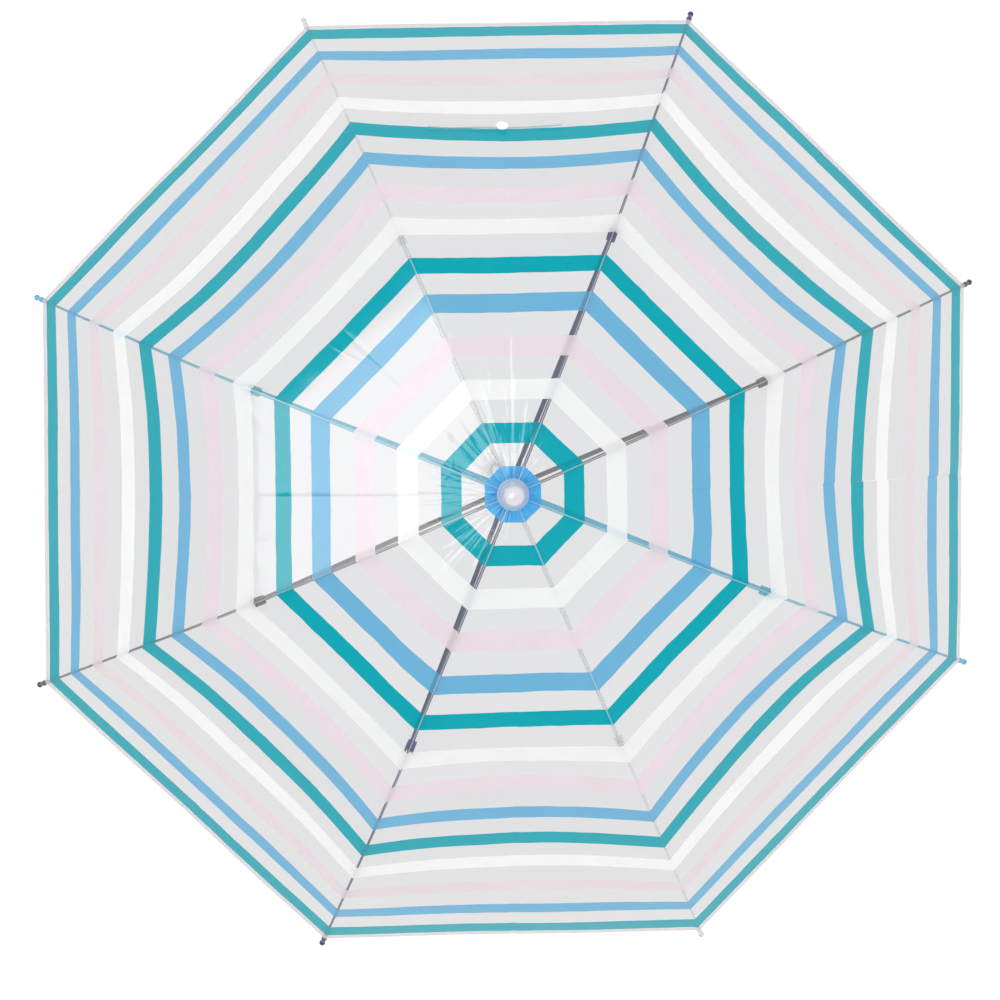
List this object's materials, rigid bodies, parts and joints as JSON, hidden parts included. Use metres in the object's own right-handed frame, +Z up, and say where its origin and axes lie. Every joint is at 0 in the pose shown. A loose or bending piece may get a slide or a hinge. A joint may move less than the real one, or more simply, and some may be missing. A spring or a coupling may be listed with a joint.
{
  "type": "clear film stick umbrella",
  "caption": "Open stick umbrella: a striped clear-film dome on a straight shaft, with folding two-part ribs, stretchers, a sliding runner and a straight grip.",
  "frame": {"origin": "bottom centre of the handle's end cap, on the shaft's axis", "axes": "+Z up along the shaft towards the ferrule; +X and +Y pass through the middles of two gores, the closure strap lying on the +Y one"},
  "size_m": [0.9252, 0.9252, 0.88],
  "materials": {
    "shaft_steel": "gloss",
    "pearl_plastic": "gloss",
    "white_plastic": "satin",
    "handle_plastic": "satin",
    "spring_wire": "satin",
    "canopy_film": "gloss",
    "film_clear": "gloss",
    "rib_brown": "satin",
    "tip_brown": "gloss",
    "rib_navy": "satin",
    "tip_navy": "gloss",
    "rib_white": "satin",
    "tip_white": "gloss",
    "rib_sky": "satin",
    "tip_sky": "gloss"
  },
  "bodies": {
    "root": {"shaft_tube": "shaft_steel", "ferrule_cap": "pearl_plastic", "canopy_washer": "film_clear", "top_notch": "white_plastic", "top_notch_wire": "spring_wire", "handle_grip": "handle_plastic", "handle_end_cap": "handle_plastic"},
    "runner": {"runner": "white_plastic"},
    "upper_catch": {"upper_catch": "spring_wire"},
    "lower_catch": {"lower_catch": "spring_wire"},
    "arm_inner_1": {"rib_inner_1": "rib_brown", "connector_1": "rib_brown", "gore_1": "canopy_film"},
    "arm_outer_1": {"rib_outer_1": "rib_brown", "tip_1": "tip_brown"},
    "stretcher_1": {"stretcher_1": "rib_brown"},
    "arm_inner_2": {"rib_inner_2": "rib_navy", "connector_2": "rib_navy", "gore_2": "canopy_film", "closure_strap": "canopy_film", "snap_button": "pearl_plastic"},
    "arm_outer_2": {"rib_outer_2": "rib_navy", "tip_2": "tip_navy"},
    "stretcher_2": {"stretcher_2": "rib_navy"},
    "arm_inner_3": {"rib_inner_3": "rib_white", "connector_3": "rib_white", "gore_3": "canopy_film"},
    "arm_outer_3": {"rib_outer_3": "rib_white", "tip_3": "tip_white"},
    "stretcher_3": {"stretcher_3": "rib_white"},
    "arm_inner_4": {"rib_inner_4": "rib_sky", "connector_4": "rib_sky", "gore_4": "canopy_film"},
    "arm_outer_4": {"rib_outer_4": "rib_sky", "tip_4": "tip_sky"},
    "stretcher_4": {"stretcher_4": "rib_sky"},
    "arm_inner_5": {"rib_inner_5": "rib_brown", "connector_5": "rib_brown", "gore_5": "canopy_film"},
    "arm_outer_5": {"rib_outer_5": "rib_brown", "tip_5": "tip_brown"},
    "stretcher_5": {"stretcher_5": "rib_brown"},
    "arm_inner_6": {"rib_inner_6": "rib_navy", "connector_6": "rib_navy", "gore_6": "canopy_film"},
    "arm_outer_6": {"rib_outer_6": "rib_navy", "tip_6": "tip_navy"},
    "stretcher_6": {"stretcher_6": "rib_navy"},
    "arm_inner_7": {"rib_inner_7": "rib_white", "connector_7": "rib_white", "gore_7": "canopy_film"},
    "arm_outer_7": {"rib_outer_7": "rib_white", "tip_7": "tip_white"},
    "stretcher_7": {"stretcher_7": "rib_white"},
    "arm_inner_8": {"rib_inner_8": "rib_sky", "connector_8": "rib_sky", "gore_8": "canopy_film"},
    "arm_outer_8": {"rib_outer_8": "rib_sky", "tip_8": "tip_sky"},
    "stretcher_8": {"stretcher_8": "rib_sky"}
  },
  "joints": [
    {"name": "runner_slide", "type": "slide", "parent": "root", "child": "runner", "axis": [0, 0, 1], "range_m": [-0.3701, 0], "deforming": ["gore_1", "gore_2", "gore_3", "gore_4", "gore_5", "gore_6", "gore_7", "gore_8", "closure_strap", "snap_button"]},
    {"name": "rib_hinge_1", "type": "hinge", "parent": "root", "child": "arm_inner_1", "pos_m": [0.01004, 0.00416, 0.83281], "axis": [-0.3827, 0.9239, 0], "range_deg": [0, 71.99]},
    {"name": "stretcher_hinge_1", "type": "hinge", "parent": "arm_inner_1", "child": "stretcher_1", "pos_m": [0.23352, 0.09673, 0.7677], "axis": [-0.3827, 0.9239, 0], "range_deg": [-143.92, 0]},
    {"name": "rib_flex_1", "type": "hinge", "parent": "arm_inner_1", "child": "arm_outer_1", "pos_m": [0.23558, 0.09758, 0.77218], "axis": [-0.3827, 0.9239, 0], "range_deg": [-34.05, 0]},
    {"name": "rib_hinge_2", "type": "hinge", "parent": "root", "child": "arm_inner_2", "pos_m": [0.00416, 0.01004, 0.83281], "axis": [-0.9239, 0.3827, 0], "range_deg": [0, 71.99]},
    {"name": "stretcher_hinge_2", "type": "hinge", "parent": "arm_inner_2", "child": "stretcher_2", "pos_m": [0.09673, 0.23352, 0.7677], "axis": [-0.9239, 0.3827, 0], "range_deg": [-143.92, 0]},
    {"name": "rib_flex_2", "type": "hinge", "parent": "arm_inner_2", "child": "arm_outer_2", "pos_m": [0.09758, 0.23558, 0.77218], "axis": [-0.9239, 0.3827, 0], "range_deg": [-34.05, 0]},
    {"name": "rib_hinge_3", "type": "hinge", "parent": "root", "child": "arm_inner_3", "pos_m": [-0.00416, 0.01004, 0.83281], "axis": [-0.9239, -0.3827, 0], "range_deg": [0, 71.99]},
    {"name": "stretcher_hinge_3", "type": "hinge", "parent": "arm_inner_3", "child": "stretcher_3", "pos_m": [-0.09673, 0.23352, 0.7677], "axis": [-0.9239, -0.3827, 0], "range_deg": [-143.92, 0]},
    {"name": "rib_flex_3", "type": "hinge", "parent": "arm_inner_3", "child": "arm_outer_3", "pos_m": [-0.09758, 0.23558, 0.77218], "axis": [-0.9239, -0.3827, 0], "range_deg": [-34.05, 0]},
    {"name": "rib_hinge_4", "type": "hinge", "parent": "root", "child": "arm_inner_4", "pos_m": [-0.01004, 0.00416, 0.83281], "axis": [-0.3827, -0.9239, 0], "range_deg": [0, 71.99]},
    {"name": "stretcher_hinge_4", "type": "hinge", "parent": "arm_inner_4", "child": "stretcher_4", "pos_m": [-0.23352, 0.09673, 0.7677], "axis": [-0.3827, -0.9239, 0], "range_deg": [-143.92, 0]},
    {"name": "rib_flex_4", "type": "hinge", "parent": "arm_inner_4", "child": "arm_outer_4", "pos_m": [-0.23558, 0.09758, 0.77218], "axis": [-0.3827, -0.9239, 0], "range_deg": [-34.05, 0]},
    {"name": "rib_hinge_5", "type": "hinge", "parent": "root", "child": "arm_inner_5", "pos_m": [-0.01004, -0.00416, 0.83281], "axis": [0.3827, -0.9239, 0], "range_deg": [0, 71.99]},
    {"name": "stretcher_hinge_5", "type": "hinge", "parent": "arm_inner_5", "child": "stretcher_5", "pos_m": [-0.23352, -0.09673, 0.7677], "axis": [0.3827, -0.9239, 0], "range_deg": [-143.92, 0]},
    {"name": "rib_flex_5", "type": "hinge", "parent": "arm_inner_5", "child": "arm_outer_5", "pos_m": [-0.23558, -0.09758, 0.77218], "axis": [0.3827, -0.9239, 0], "range_deg": [-34.05, 0]},
    {"name": "rib_hinge_6", "type": "hinge", "parent": "root", "child": "arm_inner_6", "pos_m": [-0.00416, -0.01004, 0.83281], "axis": [0.9239, -0.3827, 0], "range_deg": [0, 71.99]},
    {"name": "stretcher_hinge_6", "type": "hinge", "parent": "arm_inner_6", "child": "stretcher_6", "pos_m": [-0.09673, -0.23352, 0.7677], "axis": [0.9239, -0.3827, 0], "range_deg": [-143.92, 0]},
    {"name": "rib_flex_6", "type": "hinge", "parent": "arm_inner_6", "child": "arm_outer_6", "pos_m": [-0.09758, -0.23558, 0.77218], "axis": [0.9239, -0.3827, 0], "range_deg": [-34.05, 0]},
    {"name": "rib_hinge_7", "type": "hinge", "parent": "root", "child": "arm_inner_7", "pos_m": [0.00416, -0.01004, 0.83281], "axis": [0.9239, 0.3827, 0], "range_deg": [0, 71.99]},
    {"name": "stretcher_hinge_7", "type": "hinge", "parent": "arm_inner_7", "child": "stretcher_7", "pos_m": [0.09673, -0.23352, 0.7677], "axis": [0.9239, 0.3827, 0], "range_deg": [-143.92, 0]},
    {"name": "rib_flex_7", "type": "hinge", "parent": "arm_inner_7", "child": "arm_outer_7", "pos_m": [0.09758, -0.23558, 0.77218], "axis": [0.9239, 0.3827, 0], "range_deg": [-34.05, 0]},
    {"name": "rib_hinge_8", "type": "hinge", "parent": "root", "child": "arm_inner_8", "pos_m": [0.01004, -0.00416, 0.83281], "axis": [0.3827, 0.9239, 0], "range_deg": [0, 71.99]},
    {"name": "stretcher_hinge_8", "type": "hinge", "parent": "arm_inner_8", "child": "stretcher_8", "pos_m": [0.23352, -0.09673, 0.7677], "axis": [0.3827, 0.9239, 0], "range_deg": [-143.92, 0]},
    {"name": "rib_flex_8", "type": "hinge", "parent": "arm_inner_8", "child": "arm_outer_8", "pos_m": [0.23558, -0.09758, 0.77218], "axis": [0.3827, 0.9239, 0], "range_deg": [-34.05, 0]},
    {"name": "upper_catch_press", "type": "slide", "parent": "root", "child": "upper_catch", "axis": [-1, 0, 0], "range_m": [0, 0.0021], "stiffness_N_per_m": 900, "springref_m": -0.002},
    {"name": "lower_catch_press", "type": "slide", "parent": "root", "child": "lower_catch", "axis": [-1, 0, 0], "range_m": [0, 0.0021], "stiffness_N_per_m": 900, "springref_m": -0.002}
  ],
  "couplings": [
    {"joint": "rib_hinge_1", "follows": "runner_slide", "rad_per_m": -3.3924},
    {"joint": "stretcher_hinge_1", "follows": "runner_slide", "rad_per_m": 6.7847},
    {"joint": "rib_flex_1", "follows": "runner_slide", "rad_per_m": 1.6034},
    {"joint": "rib_hinge_2", "follows": "runner_slide", "rad_per_m": -3.3924},
    {"joint": "stretcher_hinge_2", "follows": "runner_slide", "rad_per_m": 6.7847},
    {"joint": "rib_flex_2", "follows": "runner_slide", "rad_per_m": 1.6034},
    {"joint": "rib_hinge_3", "follows": "runner_slide", "rad_per_m": -3.3924},
    {"joint": "stretcher_hinge_3", "follows": "runner_slide", "rad_per_m": 6.7847},
    {"joint": "rib_flex_3", "follows": "runner_slide", "rad_per_m": 1.6034},
    {"joint": "rib_hinge_4", "follows": "runner_slide", "rad_per_m": -3.3924},
    {"joint": "stretcher_hinge_4", "follows": "runner_slide", "rad_per_m": 6.7847},
    {"joint": "rib_flex_4", "follows": "runner_slide", "rad_per_m": 1.6034},
    {"joint": "rib_hinge_5", "follows": "runner_slide", "rad_per_m": -3.3924},
    {"joint": "stretcher_hinge_5", "follows": "runner_slide", "rad_per_m": 6.7847},
    {"joint": "rib_flex_5", "follows": "runner_slide", "rad_per_m": 1.6034},
    {"joint": "rib_hinge_6", "follows": "runner_slide", "rad_per_m": -3.3924},
    {"joint": "stretcher_hinge_6", "follows": "runner_slide", "rad_per_m": 6.7847},
    {"joint": "rib_flex_6", "follows": "runner_slide", "rad_per_m": 1.6034},
    {"joint": "rib_hinge_7", "follows": "runner_slide", "rad_per_m": -3.3924},
    {"joint": "stretcher_hinge_7", "follows": "runner_slide", "rad_per_m": 6.7847},
    {"joint": "rib_flex_7", "follows": "runner_slide", "rad_per_m": 1.6034},
    {"joint": "rib_hinge_8", "follows": "runner_slide", "rad_per_m": -3.3924},
    {"joint": "stretcher_hinge_8", "follows": "runner_slide", "rad_per_m": 6.7847},
    {"joint": "rib_flex_8", "follows": "runner_slide", "rad_per_m": 1.6034}
  ]
}
